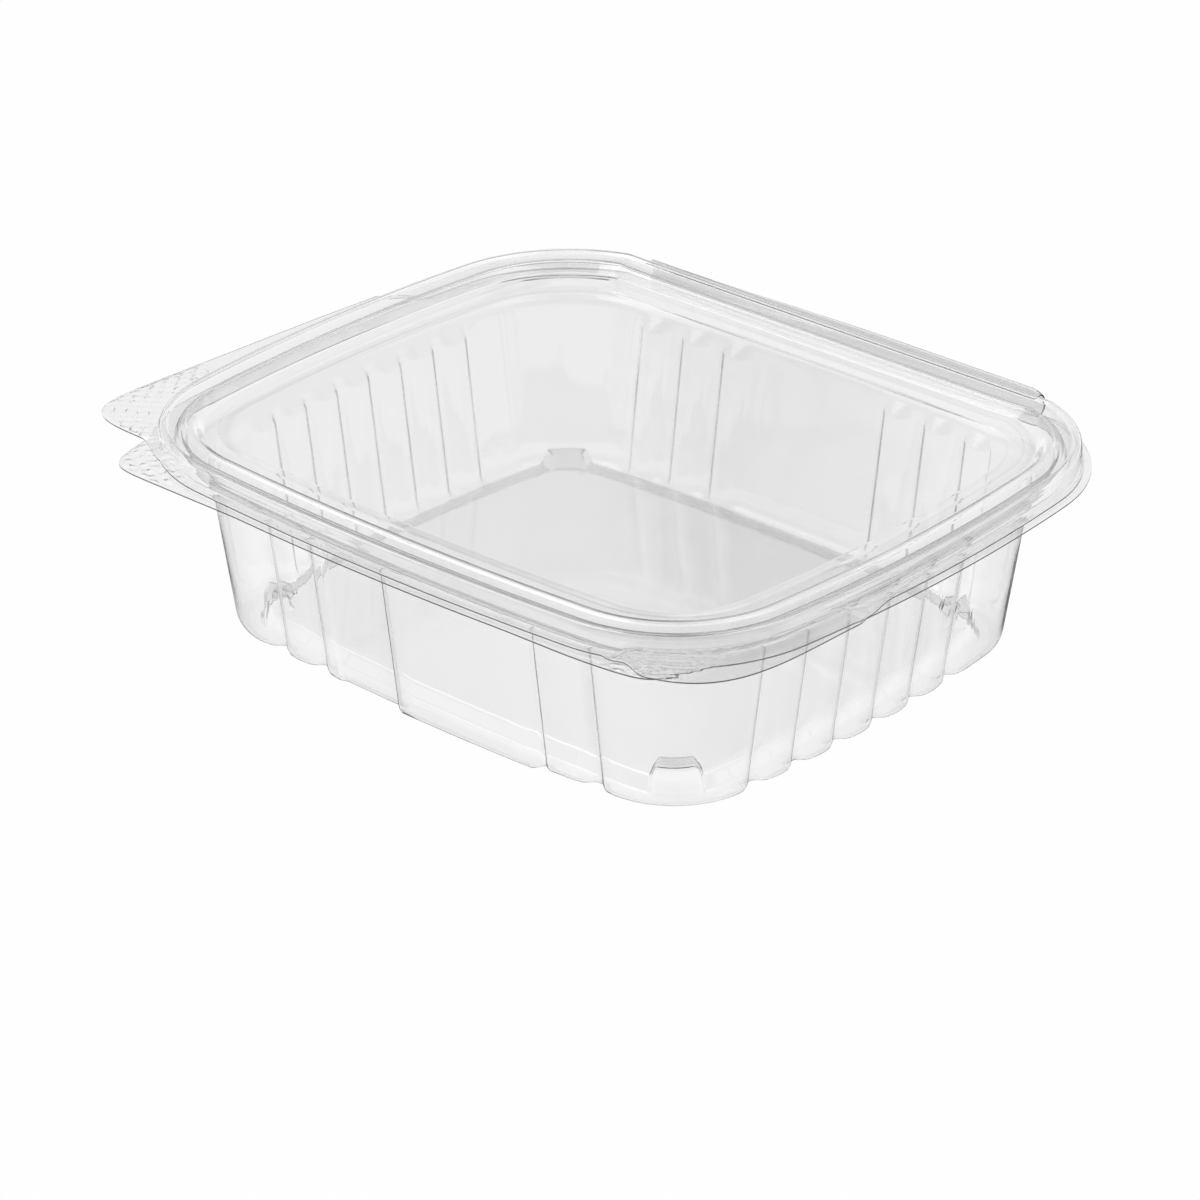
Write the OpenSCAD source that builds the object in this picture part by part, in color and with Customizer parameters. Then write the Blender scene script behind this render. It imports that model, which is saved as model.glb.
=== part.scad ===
// Clear hinged food container, closed: a deep ribbed tray and a shallow lid thermoformed from one sheet.
// The origin is on the table under the middle of the rim; the hinge is at +Y and the opening tabs at -Y.

/* [Rim outline] */
// Length over the flange, left to right
rim_length = 184; // [160:1:210]
// Width over the flange, front to back
rim_width = 161; // [140:1:185]
// Corner radius of the flange
rim_corner_r = 39; // [34:1:44]
// How far each long side bows outwards between its ends
long_bow = 5.8; // [3:0.2:8]
// How far each short side bows outwards between its ends
short_bow = 7.8; // [5:0.2:10]
// Width cut off the bowed back side to give a straight hinge line
hinge_cut = 3.8; // [2:0.1:5]

/* [Sheet] */
// Thickness of the formed sheet
sheet = 0.3; // [0.25:0.05:0.45]

/* [Tray rim] */
// Height of the tray flange above the table
flange_z = 42.6; // [34:0.1:60]
// Width of the flat flange outside the bead
flange_w = 5.5; // [4.8:0.1:6]
// Width of the bead that the lid closes over
bead_w = 3.2; // [2.9:0.1:3.4]
// Height of the bead above the flange
bead_h = 4.2; // [3:0.1:4.8]
// Drop from the flange to the ledge inside the bead
ledge_drop = 1.9; // [1:0.1:3]
// Width of the ledge
ledge_w = 2.2; // [1.5:0.1:3]

/* [Tray walls] */
// How far the wall leans in from its top to the table
wall_lean = 5.4; // [3:0.1:8]
// Drop from the ledge to the top of the rib caps
cap_drop = 1.7; // [1:0.1:4]
// Height of a sloping rib cap
cap_h = 2.6; // [1:0.1:3]
// Rounding where the wall turns into the foot
foot_round = 1.5; // [1:0.1:2]
// Width of the foot that runs round the base
foot_w = 6.6; // [5:0.1:8]
// Height of the floor above the table
floor_rise = 3.7; // [2.5:0.1:5]
// How far the stacking lugs reach into the foot at each corner
lug_reach = 1; // [0.5:0.1:2]
// How far the stacking lugs rise above the floor
lug_rise = 3; // [1:0.1:4]

/* [Ribs] */
// Depth of a rib
rib_depth = 2.4; // [1.5:0.1:3]
// Number of ribs on the left side
left_ribs = 7; // [3:1:8]
// Spacing of the ribs on the left side
left_pitch = 10.4; // [9:0.1:11]
// Width of a rib on the left side
left_rib_w = 7.8; // [6:0.1:8.5]
// Middle of the left ribs, measured from the middle of the side
left_middle = -2.3; // [-3:0.1:3]
// Number of ribs on the right side
right_ribs = 6; // [3:1:6]
// Spacing of the ribs on the right side
right_pitch = 13; // [10:0.1:13.2]
// Width of a rib on the right side
right_rib_w = 5.8; // [5:0.1:8]
// Middle of the right ribs, measured from the middle of the side
right_middle = -4.5; // [-5:0.1:5]
// Number of ribs each side of the plain back panel
back_ribs = 3; // [1:1:3]
// Spacing of the ribs on the back
back_pitch = 12; // [10:0.1:13]
// Width of a rib on the back
back_rib_w = 7.4; // [6:0.1:8.5]
// Width of the plain panel in the middle of the back
back_panel = 40.4; // [36:0.2:48]
// Middle of the back panel, measured from the middle of the side
back_middle = 1; // [-3:0.5:3]
// Number of ribs at the left end of the front
front_ribs = 2; // [1:1:2]
// Spacing of the ribs on the front
front_pitch = 13.2; // [9:0.1:13.4]
// Width of a rib on the front
front_rib_w = 5.8; // [5:0.1:7]
// Distance of the outermost front ribs from the middle of the side
front_outer = 46.8; // [44:0.1:48]
// How far the plain front wall beside the ribs stands back
front_back = 0.7; // [0:0.1:1.5]
// How far the plain front panel stands proud
panel_proud = 1.5; // [0.5:0.1:2.5]
// Left edge of the proud front panel
panel_left = -7; // [-18:0.5:0]
// Width of the proud front panel
panel_w = 41; // [30:0.5:42]

/* [Tabs] */
// Distance from the middle of the rim to the outer edge of a tray tab
tray_tab_x = 82; // [80:0.5:84]
// Distance of a tray tab's front edge inside the front of the rim
tray_tab_y = 1; // [0.5:0.1:2]
// Distance from the middle of the rim to the outer edge of a lid tab at its front corner
lid_tab_x = 97; // [94:0.5:102]
// Distance of a lid tab's front edge inside the front of the rim
lid_tab_y = 9.2; // [6:0.1:14]
// Height of a lid tab above the lid's edge
lid_tab_lift = 3.7; // [2:0.1:3.8]
// Share of the left tray tab's reach that the right tray tab has
right_tray_tab = 0.65; // [0.4:0.05:1]
// How far the right lid tab reaches past the side of the rim
right_lid_tab_x = 4; // [2:0.1:6]
// How far the right lid tab reaches past the front of the rim
right_lid_tab_y = 3.1; // [1:0.1:5]
// Height of the right lid tab above the lid's edge
right_lid_tab_lift = 3; // [2:0.1:3.8]

/* [Lid] */
// Gap between the tray flange and the edge of the lid
lid_gap = 0.3; // [0.3:0.05:0.5]
// Distance of the lid's edge inside the edge of the flange
lid_inset = 1.6; // [1:0.1:2]
// Height of the lid's rim above the tray flange
lid_h = 6.4; // [5.8:0.1:9]
// Depth of the small step inside the lid's outer edge
lid_step = 0.6; // [0.3:0.1:0.8]
// Width of the lid's outer edge bead
lid_bead_w = 1.9; // [1.4:0.1:2.4]
// Distance of the recess wall inside the edge of the flange
recess_inset = 10.6; // [10.2:0.1:12]
// Depth of the recess below the lid's rim
recess_depth = 2.5; // [1.8:0.1:3]
// Width of the flat ring at the foot of the recess wall
recess_ring = 2.8; // [1:0.1:4]
// Width of the shallow slope between that ring and the flat panel
recess_slope = 3.2; // [1:0.1:5]

/* [Hinge] */
// Length of the hinge strip
hinge_len = 115; // [80:1:118]
// Height of the hinge axis above the tray flange
hinge_rise = 2.4; // [2:0.1:3]
// Distance of the hinge axis behind the straight hinge line
hinge_back = 2.2; // [1.6:0.1:2.4]
// Radius of the rolled hinge strip
hinge_r = 2.7; // [2.2:0.1:2.8]

/* [Hidden] */

// Segments along a short side, a long side and a corner of the rim
short_n = 8;
long_n = 10;
corner_n = 13;

half_l = rim_length / 2;
half_w = rim_width / 2;
short_r = (half_w * half_w + short_bow * short_bow) / (2 * short_bow);
long_r = (half_l * half_l + long_bow * long_bow) / (2 * long_bow);
hinge_y = half_w - hinge_cut;

// The corner arc touches the short side's arc and the long side's arc from inside.
short_c = [half_l - short_r, 0];
long_c = [0, half_w - long_r];
span = norm(long_c - short_c);
along = (long_c - short_c) / span;
reach_s = short_r - rim_corner_r;
reach_l = long_r - rim_corner_r;
step_a = (reach_s * reach_s - reach_l * reach_l + span * span) / (2 * span);
step_h = sqrt(reach_s * reach_s - step_a * step_a);
corner_c = short_c + step_a * along + step_h * [-along.y, along.x];
short_end = atan2(corner_c.y - short_c.y, corner_c.x - short_c.x);
long_end = atan2(corner_c.y - long_c.y, corner_c.x - long_c.x);

// A place on the rim is given by the direction that the rim faces there, so an inset is a smaller radius.
function folded(phi) = abs(sin(phi)) < 0.0000001 ? 0 : atan2(abs(sin(phi)), abs(cos(phi)));
function arc_c(f) = f <= short_end ? short_c : f >= long_end ? long_c : corner_c;
function arc_r(f) = f <= short_end ? short_r : f >= long_end ? long_r : rim_corner_r;
function facing(phi) = [cos(phi), sin(phi)];
function quarter(phi) = [cos(phi) < 0 ? -1 : 1, sin(phi) < 0 ? -1 : 1];
function bowed(phi, inset) =
    let(
        f = folded(phi),
        c = arc_c(f),
        q = quarter(phi)
    )
    [q.x * c.x, q.y * c.y] + (arc_r(f) - inset) * facing(phi);
function straightened(phi) = min(0, hinge_y - bowed(phi, 0).y);
function outline(phi, inset, straight) = bowed(phi, inset) + [0, straight * straightened(phi)];

// Directions round the rim, from the front end of the right side
function spread(a, b, n) = [for (k = [0:n - 1]) a + (b - a) * k / n];
coarse = concat(
    spread(-short_end, short_end, short_n),
    spread(short_end, long_end, corner_n),
    spread(long_end, 180 - long_end, long_n),
    spread(180 - long_end, 180 - short_end, corner_n),
    spread(180 - short_end, 180 + short_end, short_n),
    spread(180 + short_end, 180 + long_end, corner_n),
    spread(180 + long_end, 360 - long_end, long_n),
    spread(360 - long_end, 360 - short_end, corner_n)
);
coarse_ring = [for (phi = coarse) [phi, 0]];

// Profile across a rib: place within its half width, and share of its depth
rib_profile = [[-1, 0], [-0.62, 0.86], [-0.46, 1], [0.46, 1], [0.62, 0.86], [1, 0]];
function rib_row(middles, width) = [for (m = middles) for (p = rib_profile) [m + p.x * width / 2, p.y]];
function row_middles(n, pitch, middle) = [for (k = [0:n - 1]) middle + (k - (n - 1) / 2) * pitch];

// Each side lists its places along the side with the rib depth there; negative depth stands proud.
side_inset = flange_w + bead_w + ledge_w + 4;
right_row = rib_row(row_middles(right_ribs, right_pitch, right_middle), right_rib_w);
left_row = rib_row(row_middles(left_ribs, left_pitch, left_middle), left_rib_w);
back_first = (back_panel + back_rib_w) / 2;
back_row = concat(
    rib_row([for (k = [back_ribs - 1:-1:0]) back_middle - back_first - k * back_pitch], back_rib_w),
    rib_row([for (k = [0:back_ribs - 1]) back_middle + back_first + k * back_pitch], back_rib_w)
);
panel_edge = 1.6;
proud_share = -panel_proud / rib_depth;
back_share = front_back / rib_depth;
notch_share = 0.45;
last_rib = -front_outer + (front_ribs - 1) * front_pitch + front_rib_w / 2;
front_row = concat(
    rib_row([for (k = [0:front_ribs - 1]) -front_outer + k * front_pitch], front_rib_w),
    [
        [last_rib + 3, 0],
        [last_rib + 5, back_share],
        [panel_left - panel_edge / 2, back_share],
        [panel_left + panel_edge / 2, proud_share],
        [panel_left + panel_w - panel_edge * 1.5, proud_share],
        [panel_left + panel_w - panel_edge, notch_share],
        [panel_left + panel_w, notch_share],
        [panel_left + panel_w + panel_edge / 2, 0]
    ],
    rib_row([front_outer], front_rib_w)
);

function turned(list) = [for (k = [len(list) - 1:-1:0]) list[k]];
function on_side(row, side, sense, radius, half) =
    [for (p = row) if (abs(p.x) < half - 0.05) [side + sense * asin(p.x / radius), p.y]];
function on_short(row, side) =
    let(radius = short_r - side_inset)
    on_side(row, side, sign(90 - side), radius, radius * sin(short_end));
function on_long(row, side) =
    let(radius = long_r - side_inset)
    on_side(row, side, sign(side - 180), radius, radius * cos(long_end));
fine_ring = concat(
    [[-short_end, 0]],
    on_short(right_row, 0),
    [for (phi = spread(short_end, long_end, corner_n)) [phi, 0]],
    [[long_end, 0]],
    on_long(turned(back_row), 90),
    [for (phi = spread(180 - long_end, 180 - short_end, corner_n)) [phi, 0]],
    [[180 - short_end, 0]],
    on_short(turned(left_row), 180),
    [for (phi = spread(180 + short_end, 180 + long_end, corner_n)) [phi, 0]],
    [[180 + long_end, 0]],
    on_long(front_row, 270),
    [for (phi = spread(360 - long_end, 360 - short_end, corner_n)) [phi, 0]]
);

// A tab is the flange carried out to two straight edges, rounded where they meet.
function to_line(point, dir, normal, distance) =
    let(slope = dir * normal)
    slope < 0.01 ? 1000 : max(0, (distance - point * normal) / slope);
function tab_reach(point, dir, line_a, line_b, power) =
    let(
        a = to_line(point, dir, line_a[0], line_a[1]),
        b = to_line(point, dir, line_b[0], line_b[1])
    )
    min(a, b) <= 0 ? 0 : pow(pow(a, -power) + pow(b, -power), -1 / power);

// The tabs are worked out at the left, where phi is 90 to 270, and the right ones are turned over to it.
function is_right(phi) = phi > 270 || phi < 90;
function mirrored(phi) = phi > 270 ? 540 - phi : phi < 90 ? 180 - phi : phi;
tray_tab_lines = [[[-0.976, -0.217], tray_tab_x * 0.976 + half_w * 0.17], [[0, -1], half_w - tray_tab_y]];
lid_tab_lines = [[[-0.999, 0.045], lid_tab_x * 0.999 - half_w * 0.0378], [[0, -1], half_w - lid_tab_y]];
right_lid_tab_lines = [[[-1, 0], half_l + right_lid_tab_x], [[0, -1], half_w + right_lid_tab_y]];
function tab(phi, inset, lines, power, from, to) =
    phi > from && phi < to
        ? tab_reach(bowed(phi, inset), facing(phi), lines[0], lines[1], power)
            * min(1, (phi - from) / 2, (to - phi) / 4)
        : 0;
function tray_tab(phi) =
    (is_right(phi) ? right_tray_tab : 1) * tab(mirrored(phi), 0, tray_tab_lines, 2.5, 180 + short_end, 270);
function lid_tab(phi) =
    is_right(phi)
        ? tab(mirrored(phi), lid_inset, right_lid_tab_lines, 1.3, 182.5, 243)
        : tab(mirrored(phi), lid_inset, lid_tab_lines, 2, 175.4, 270);
function tab_lift(phi) = (is_right(phi) ? right_lid_tab_lift : lid_tab_lift) * min(1, lid_tab(phi) / 1.5);

// The corner lugs are blocks on the edge of the raised floor that reach into the foot.
function corner_share(phi) = let(f = folded(phi)) (f - short_end) / (long_end - short_end);
function lug(phi) = abs(corner_share(phi) - 0.5) < 0.28 ? 1 : 0;

// A level is [inset, height, share of the straight back, ribs, tabs, lugs, rise, is fine].
wall_top_inset = flange_w + bead_w + ledge_w + 1.8;
cap_z = flange_z - ledge_drop - cap_drop;
foot_inset = wall_top_inset + wall_lean;
tray_levels = [
    [0, flange_z, 1, 0, 1, 0, 0, 0],
    [flange_w * 0.55, flange_z, 1, 0, 0, 0, 0, 0],
    [flange_w, flange_z, 1, 0, 0, 0, 0, 0],
    [flange_w + 0.35, flange_z + bead_h * 0.72, 1, 0, 0, 0, 0, 0],
    [flange_w + 1.1, flange_z + bead_h, 1, 0, 0, 0, 0, 0],
    [flange_w + bead_w - 1.7, flange_z + bead_h, 1, 0, 0, 0, 0, 0],
    [flange_w + bead_w - 0.7, flange_z + bead_h * 0.7, 1, 0, 0, 0, 0, 0],
    [flange_w + bead_w, flange_z - ledge_drop + 0.4, 1, 0, 0, 0, 0, 0],
    [flange_w + bead_w + 0.5, flange_z - ledge_drop, 0.8, 0, 0, 0, 0, 0],
    [flange_w + bead_w + ledge_w, flange_z - ledge_drop - 0.1, 0, 0, 0, 0, 0, 0],
    [wall_top_inset - 0.8, flange_z - ledge_drop - 0.7, 0, 0, 0, 0, 0, 0],
    [wall_top_inset, cap_z, 0, 0, 0, 0, 0, 1],
    [wall_top_inset + wall_lean * cap_h / cap_z, cap_z - cap_h, 0, 1, 0, 0, 0, 1],
    [foot_inset - 0.2, foot_round, 0, 1, 0, 0, 0, 1],
    [foot_inset + foot_round * 0.3, foot_round * 0.3, 0, 1, 0, 0, 0, 1],
    [foot_inset + foot_round, 0, 0, 0.9, 0, 0, 0, 1],
    [foot_inset + foot_w, 0, 0, 0, 0, 1, 0, 0],
    [foot_inset + foot_w + 0.8, floor_rise - 0.5, 0, 0, 0, 1, 1, 0],
    [foot_inset + foot_w + 1.4, floor_rise, 0, 0, 0, 0.8, 1, 0],
    [foot_inset + foot_w + 4, floor_rise, 0, 0, 0, 0, 1, 0],
    [foot_inset + foot_w + 5, floor_rise, 0, 0, 0, 0, 0, 0]
];

rim_top = flange_z + lid_h;
lid_z = flange_z + sheet + lid_gap;
lid_levels = [
    [lid_inset, lid_z, 1, 0, 1, 0, 1, 0],
    [lid_inset + 0.6, lid_z + 0.1, 1, 0, 0, 0, 0.95, 0],
    [lid_inset + 0.8, rim_top - 1.3, 1, 0, 0, 0, 0, 0],
    [lid_inset + 1.1, rim_top - 0.6, 1, 0, 0, 0, 0, 0],
    [lid_inset + 1.6, rim_top - 0.3, 1, 0, 0, 0, 0, 0],
    [lid_inset + lid_bead_w + 0.3, rim_top - 0.3, 1, 0, 0, 0, 0, 0],
    [lid_inset + lid_bead_w + 0.9, rim_top - 0.3 - lid_step, 1, 0, 0, 0, 0, 0],
    [recess_inset - 2.4, rim_top - 0.3 - lid_step, 1, 0, 0, 0, 0, 0],
    [recess_inset - 1.8, rim_top - 0.4, 1, 0, 0, 0, 0, 0],
    [recess_inset - 1.1, rim_top - 0.4, 1, 0, 0, 0, 0, 0],
    [recess_inset - 0.3, rim_top - 0.9, 1, 0, 0, 0, 0, 0],
    [recess_inset + 1.1, rim_top - recess_depth + 0.4, 1, 0, 0, 0, 0, 0],
    [recess_inset + 1.7, rim_top - recess_depth, 1, 0, 0, 0, 0, 0],
    [recess_inset + 1.7 + recess_ring, rim_top - recess_depth, 1, 0, 0, 0, 0, 0],
    [recess_inset + 1.7 + recess_ring + recess_slope, rim_top - recess_depth - 0.6, 1, 0, 0, 0, 0, 0]
];

// The second face of the sheet lies one thickness up and in, square to the section between levels.
function across(a, b) = let(d = [b[0] - a[0], b[1] - a[1]]) [-d.y, d.x] / norm(d);
function level_normal(levels, k) =
    let(
        last = len(levels) - 1,
        before = across(levels[max(k - 1, 0)], levels[max(k, 1)]),
        after = across(levels[min(k, last - 1)], levels[min(k + 1, last)])
    )
    (before + after) / max(1 + before * after, 0.7);
function ring_of(level) = level[7] == 1 ? fine_ring : coarse_ring;
function ring_points(level, shift, is_lid) = [
    for (v = ring_of(level))
        let(
            reach = level[4] * (is_lid ? lid_tab(v[0]) : tray_tab(v[0])),
            inset = level[0] + rib_depth * level[3] * v[1] - lug_reach * level[5] * lug(v[0]) - reach + shift.x,
            rise = level[6] * (is_lid ? tab_lift(v[0]) : lug_rise * lug(v[0])),
            p = outline(v[0], inset, level[2])
        )
        [p.x, p.y, level[1] + rise + shift.y]
];

// Triangles between two rings: each segment of the second ring goes to the nearest point of the first.
function ring_at(ring, k) = let(n = len(ring)) ring[k % n][0] + 360 * floor(k / n);
function nearest(ring, phi) =
    let(gaps = [for (k = [0:len(ring)]) abs(ring_at(ring, k) - phi)], least = min(gaps))
    [for (k = [0:len(gaps) - 1]) if (gaps[k] == least) k][0];
function band(a0, na, b0, nb, choice) = concat(
    [for (j = [0:nb - 1]) [b0 + j, a0 + choice[j] % na, b0 + (j + 1) % nb]],
    [
        for (i = [0:na - 1])
            let(j = len([for (c = choice) if (c <= i) 1]) % nb)
            [a0 + i, a0 + (i + 1) % na, b0 + j]
    ]
);
function choices(a, b) = [for (j = [0:len(b) - 1]) nearest(a, (ring_at(b, j) + ring_at(b, j + 1)) / 2)];
same_coarse = [for (j = [0:len(coarse_ring) - 1]) j + 1];
same_fine = [for (j = [0:len(fine_ring) - 1]) j + 1];
coarse_to_fine = choices(coarse_ring, fine_ring);
fine_to_coarse = choices(fine_ring, coarse_ring);
function choice_for(a, b) =
    a == b ? (a == 1 ? same_fine : same_coarse) : b == 1 ? coarse_to_fine : fine_to_coarse;

function starts(levels) = [
    for (k = 0, s = 0; k <= len(levels); s = s + (k < len(levels) ? len(ring_of(levels[k])) : 0), k = k + 1) s
];
function reversed(face) = [for (k = [len(face) - 1:-1:0]) face[k]];
function skin_faces(levels, at, base) = [
    for (k = [0:len(levels) - 2])
        for (f = band(
            base + at[k], len(ring_of(levels[k])),
            base + at[k + 1], len(ring_of(levels[k + 1])),
            choice_for(levels[k][7], levels[k + 1][7])
        )) f
];

// A shell of one sheet: lower skin, upper skin, the cut edge of the rim and the two flat faces in the middle
module formed_shell(levels, is_lid) {
    at = starts(levels);
    total = at[len(levels)];
    last = len(levels) - 1;
    n0 = len(ring_of(levels[0]));
    n1 = len(ring_of(levels[last]));
    lower = [for (k = [0:last]) for (p = ring_points(levels[k], [0, 0], is_lid)) p];
    upper = [for (k = [0:last]) for (p = ring_points(levels[k], sheet * level_normal(levels, k), is_lid)) p];
    edge = band(total, n0, 0, n0, same_coarse);
    lower_faces = skin_faces(levels, at, 0);
    upper_faces = [for (f = skin_faces(levels, at, total)) reversed(f)];
    caps = [
        [for (k = [0:n1 - 1]) at[last] + k],
        [for (k = [n1 - 1:-1:0]) total + at[last] + k]
    ];
    polyhedron(points = concat(lower, upper), faces = concat(lower_faces, upper_faces, edge, caps), convexity = 10);
}

module tray() {
    color([0.9, 0.93, 0.95, 0.45]) formed_shell(tray_levels, false);
}

module lid() {
    color([0.92, 0.95, 0.97, 0.35]) formed_shell(lid_levels, true);
}

// The rolled strip starts flush with the flange at the hinge line and curls up round the hinge axis.
axis_y = hinge_y + hinge_back;
axis_z = flange_z + sheet / 2 + hinge_rise;
roll_from = -65;
roll_to = 110;
roll_n = 10;
function roll_point(r, k) =
    let(t = roll_from + (roll_to - roll_from) * k / roll_n)
    [axis_y + r * cos(t), axis_z + r * sin(t)];
module hinge_strip() {
    section = concat(
        [[hinge_y, flange_z], [hinge_y + 0.4, flange_z]],
        [for (k = [0:roll_n]) roll_point(hinge_r + sheet / 2, k)],
        [for (k = [roll_n:-1:0]) roll_point(hinge_r - sheet / 2, k)],
        [[hinge_y + 0.4, flange_z + sheet], [hinge_y, flange_z + sheet]]
    );
    color([0.86, 0.9, 0.93, 0.5])
        translate([-hinge_len / 2, 0, 0])
            rotate([90, 0, 90])
                linear_extrude(hinge_len)
                    polygon(section);
}

tray();
lid();
hinge_strip();
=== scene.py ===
"""Hinged clear plastic food container: tray, lid and hinge web as thin formed sheets, with its stage."""

import bpy
import numpy as np
from bpy.props import FloatProperty, FloatVectorProperty, PointerProperty
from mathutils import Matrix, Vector


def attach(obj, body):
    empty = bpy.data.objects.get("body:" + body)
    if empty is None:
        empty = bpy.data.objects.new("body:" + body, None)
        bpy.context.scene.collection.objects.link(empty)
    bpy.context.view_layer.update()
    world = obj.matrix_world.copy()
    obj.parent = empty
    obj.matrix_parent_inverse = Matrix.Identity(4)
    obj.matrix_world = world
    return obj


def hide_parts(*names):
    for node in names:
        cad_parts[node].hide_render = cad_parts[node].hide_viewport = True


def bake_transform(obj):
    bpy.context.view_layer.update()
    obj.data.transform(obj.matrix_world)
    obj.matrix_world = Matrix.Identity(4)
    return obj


bl_info = {
    "name": "Hinged food container",
    "version": (1, 0, 0),
    "blender": (4, 2, 0),
    "location": "View3D > Sidebar > Container",
    "description": "Builds a clear thermoformed food container with a hinged lid",
    "category": "Add Mesh",
}

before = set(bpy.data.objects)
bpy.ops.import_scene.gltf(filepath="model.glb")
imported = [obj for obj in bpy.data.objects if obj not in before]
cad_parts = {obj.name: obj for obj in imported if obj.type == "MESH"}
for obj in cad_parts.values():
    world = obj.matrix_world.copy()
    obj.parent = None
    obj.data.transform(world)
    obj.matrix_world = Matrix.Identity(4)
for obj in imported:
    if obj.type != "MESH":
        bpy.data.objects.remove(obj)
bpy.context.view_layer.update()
MM = 0.001

# Rim outline in millimetres: half sizes, corner arc, how far the sides bow out, and the radii of the sides
HALF_L = 92.0
HALF_W = 80.5
CORNER_R = 39.0
LONG_BOW = 5.8
SHORT_BOW = 7.8
SHORT_R = (HALF_W**2 + SHORT_BOW**2) / (2 * SHORT_BOW)
LONG_R = (HALF_L**2 + LONG_BOW**2) / (2 * LONG_BOW)

# Sheet, and heights in millimetres from the table
SHEET = 0.3
FLANGE_Z = 42.6
LID_RISE = 6.4
RIM_TOP = FLANGE_Z + LID_RISE
LID_Z = FLANGE_Z + 2 * SHEET
LID_INSET = 1.6

# Ribs: depth, a flank's width, its middle as a share of the rib, the soft crown's share, and the inset
RIB_DEPTH = 2.4
FLANK = 2.7
FLANK_MIDDLE = 0.39
CROWN = 0.32
SIDE_INSET = 14.9

# Lugs at the floor's corners: reach, rise, half width as a share of the corner, and width of the soft ends
LUG_REACH = 1.0
LUG_RISE = 3.0
LUG_HALF = 0.32
LUG_SOFT = 0.09

# Hinge web: line along the back, half length, heights where it turns from tray to lid, and its curl
HINGE_Y = HALF_W - 3.8
HINGE_HALF = 57.5
WEB_OUT = [0.0, 0.3, 0.95, 1.0, 0.6, -0.05, -0.48]
WEB_UP = [0.15, 0.1, 0.9, 2.8, 4.8, 5.2, 4.9]

# Tabs: side and front lines as a direction and its distance from the middle, and how far the lid's tabs lift
TRAY_TAB_SIDE = (-0.976, -0.217, 82 * 0.976 + HALF_W * 0.17)
TRAY_TAB_FRONT = (0.0, -1.0, HALF_W - 1)
RIGHT_TRAY_TAB = 0.65
LEFT_TAB_SIDE = (-0.999, 0.045, 96.4 * 0.999 - HALF_W * 0.0378)
LEFT_TAB_FRONT = (0.0, -1.0, HALF_W - 9.2)
RIGHT_TAB_SIDE = (-1.0, 0.0, HALF_L + 4)
RIGHT_TAB_FRONT = (0.0, -1.0, HALF_W + 1.9)
LEFT_TAB_LIFT = 3.7
RIGHT_TAB_LIFT = 3.0

# Sheet's looks: tints, of which the hinge web's darker one is painted shade, refractive index of PET, spacing
# and strength of the waviness, and the cut edge
TRAY_TINT = "#FDFDFD"
LID_TINT = "#FEFEFE"
# The hinge web is the same sheet as tray and lid; its darker grey is painted shade for the dark rolled band
HINGE_SHADE_TINT = "#EEEEEE"
PET_IOR = 1.575
WAVE_SCALE = 55.0
WAVE_STRENGTH = 0.09
EDGE_TINT = "#D8D8D8"
EDGE_ROUGHNESS = 0.45
EDGE_CLEAR = 0.35

# Photograph's camera: the point it looks at in millimetres, its angles, distance in metres and focal length
TARGET = (22.83, -31.58, 25.9)
AZIMUTH = 41.88
ELEVATION = 27.03
DISTANCE = 1.05274
FOCAL_PIXELS = 4914.75
PHOTO_PIXELS = 1200
SENSOR = 36.0

# Stage: half side of the floor in millimetres, its grey, and the key light's side, place and target in metres
FLOOR_HALF = 3000.0
FLOOR_TINT = "#AAAAAA"
KEY_SIZE = 0.9
KEY_PLACE = (-0.7, -0.3, 1.3)
KEY_TARGET = (0.0, 0.0, 0.03)

# World's grey levels by height, towards the camera, and to the right where a dark card stands
LEVEL_BY_HEIGHT = (
    (0.0, 1.0), (0.12, 1.0), (0.28, 0.5), (0.72, 0.5), (0.84, 1.4), (0.93, 1.4), (0.97, 0.4), (1.0, 0.4))
LEVEL_TO_CAMERA = ((0.0, 1.0), (0.2, 1.0), (0.4, 0.12), (1.0, 0.12))
LEVEL_TO_RIGHT = ((0.0, 1.0), (0.004, 0.95), (0.026, 0.45), (0.046, 0.45), (0.075, 1.0))
TO_CAMERA = (0.667, -0.745, 0.0)
TO_RIGHT = (0.745, 0.667, 0.0)


def corner_centre():
    """Centres of the arcs at +X +Y: short side, long side, and the corner, which touches both from inside."""
    short_c = np.array([HALF_L - SHORT_R, 0.0])
    long_c = np.array([0.0, HALF_W - LONG_R])
    span = np.linalg.norm(long_c - short_c)
    along = (long_c - short_c) / span
    reach_s = SHORT_R - CORNER_R
    reach_l = LONG_R - CORNER_R
    a = (reach_s**2 - reach_l**2 + span**2) / (2 * span)
    h = np.sqrt(reach_s**2 - a**2)
    centre = short_c + a * along + h * np.array([-along[1], along[0]])
    return short_c, long_c, centre


SHORT_C, LONG_C, CORNER_C = corner_centre()
SHORT_END = np.degrees(np.arctan2(CORNER_C[1] - SHORT_C[1], CORNER_C[0] - SHORT_C[0]))
LONG_END = np.degrees(np.arctan2(CORNER_C[1] - LONG_C[1], CORNER_C[0] - LONG_C[0]))

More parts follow.
